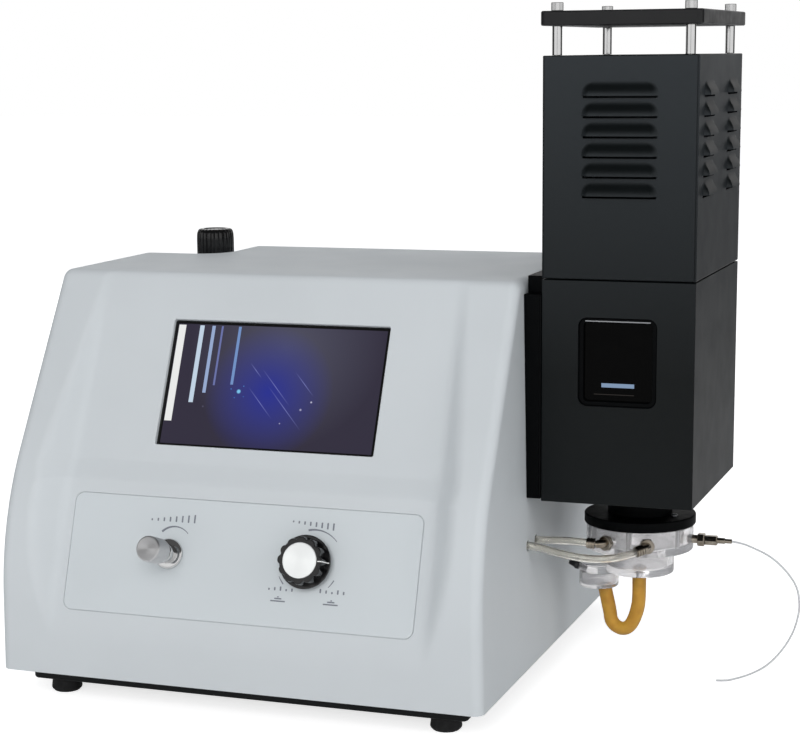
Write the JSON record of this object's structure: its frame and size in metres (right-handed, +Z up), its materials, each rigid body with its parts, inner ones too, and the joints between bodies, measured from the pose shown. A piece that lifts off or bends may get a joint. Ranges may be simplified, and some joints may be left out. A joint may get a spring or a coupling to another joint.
{
  "type": "flame photometer",
  "caption": "Bench flame photometer: moulded console with touch screen and gas controls, and a louvred burner tower over a clear mixing chamber at its side.",
  "frame": {"origin": "middle of the footprint at bench level, under the feet, without the sample capillary", "axes": "+X to the operator's right (tower side), +Y away from the operator, +Z up"},
  "size_m": [0.5085, 0.3988, 0.4581],
  "materials": {
    "pale_shell": "satin, pale blue-grey",
    "pale_film": "matte printed film on a thin plate",
    "black_paint": "satin black powder paint on sheet steel",
    "black_plastic": "moulded, half gloss",
    "black_rubber": "matte",
    "nickel": "brass with bright nickel plate",
    "chrome": "bright",
    "aluminium": "fine turned",
    "steel": "brushed",
    "brass": "turned",
    "dark_glass": "gloss, dark",
    "clear_glass": "polished",
    "clear_acrylic": "turned acrylic, slightly hazy",
    "clear_hose": "soft clear tube, slightly yellow",
    "latex": "amber latex",
    "ceramic": "glazed white",
    "board_green": "printed circuit board",
    "filter_tint": "coated interference filters in a thin carrier"
  },
  "bodies": {
    "console": {"housing_shell": "pale_shell", "control_fascia": "pale_film", "base_plate": "black_paint", "rear_panel": "black_paint", "tower_bridge": "black_paint", "burner_housing": "black_paint", "chimney": "black_paint", "baffle_plate": "black_paint", "burner_flange": "black_paint", "optics_block": "black_paint", "regulator_bonnet": "black_plastic", "mains_inlet": "black_plastic", "window_frame": "black_plastic", "foot_front_left": "black_rubber", "foot_front_right": "black_rubber", "foot_rear_left": "black_rubber", "foot_rear_right": "black_rubber", "air_fitting": "nickel", "gas_fitting": "nickel", "nebuliser_body": "nickel", "nebuliser_nut": "nickel", "needle_valve_bezel": "chrome", "tie_rod_front_left": "chrome", "tie_rod_front_right": "chrome", "tie_rod_rear_left": "chrome", "tie_rod_rear_right": "chrome", "regulator_body": "aluminium", "power_supply": "aluminium", "display_module": "steel", "regulator_bracket": "steel", "burner_tube": "steel", "burner_head": "steel", "waste_barb": "steel", "needle_valve_body": "brass", "gas_valve_body": "brass", "gas_inlet": "brass", "touch_glass": "dark_glass", "window_glass": "dark_glass", "lens": "clear_glass", "mixing_chamber": "clear_acrylic", "drain_cup": "clear_acrylic", "drain_trap": "clear_acrylic", "regulator_bowl": "clear_acrylic", "air_hose": "clear_hose", "gas_hose": "clear_hose", "gas_line": "clear_hose", "capillary": "clear_hose", "drain_tube": "latex", "spark_electrode": "ceramic", "main_board": "board_green", "detector_board": "board_green", "filter_carrier": "filter_tint"},
    "gas_plunger": {"gas_valve_plunger": "steel"},
    "gas_knob": {"gas_valve_spindle": "steel", "gas_knob": "black_plastic", "gas_knob_cap": "aluminium"},
    "needle_knob": {"needle_valve_knob": "chrome"},
    "regulator_screw": {"regulator_screw": "brass"},
    "regulator_knob": {"regulator_knob": "black_plastic"},
    "power_rocker": {"power_rocker": "black_plastic"}
  },
  "joints": [
    {"name": "gas_push", "type": "slide", "parent": "console", "child": "gas_plunger", "axis": [0, 0.9432, -0.3322], "range_m": [0, 0.0036], "stiffness_N_per_m": 900, "springref_m": -0.0015},
    {"name": "gas_turn", "type": "hinge", "parent": "gas_plunger", "child": "gas_knob", "pos_m": [-0.01275, -0.16549, 0.10599], "axis": [0, -0.9432, 0.3322], "range_deg": [-35, 235]},
    {"name": "needle_turn", "type": "hinge", "parent": "console", "child": "needle_knob", "pos_m": [-0.11115, -0.16596, 0.10467], "axis": [0, -0.9432, 0.3322], "range_deg": [-810, 810]},
    {"name": "regulator_turn", "type": "hinge", "parent": "console", "child": "regulator_screw", "pos_m": [-0.18575, 0.0849, 0.27], "axis": [0, 0, 1], "range_deg": [-720, 720]},
    {"name": "regulator_lift", "type": "slide", "parent": "regulator_screw", "child": "regulator_knob", "axis": [0, 0, 1], "range_m": [0, 0.003]},
    {"name": "power_rock", "type": "hinge", "parent": "console", "child": "power_rocker", "pos_m": [-0.10075, 0.17019, 0.07786], "axis": [-1, 0, 0], "range_deg": [0, 20]}
  ]
}
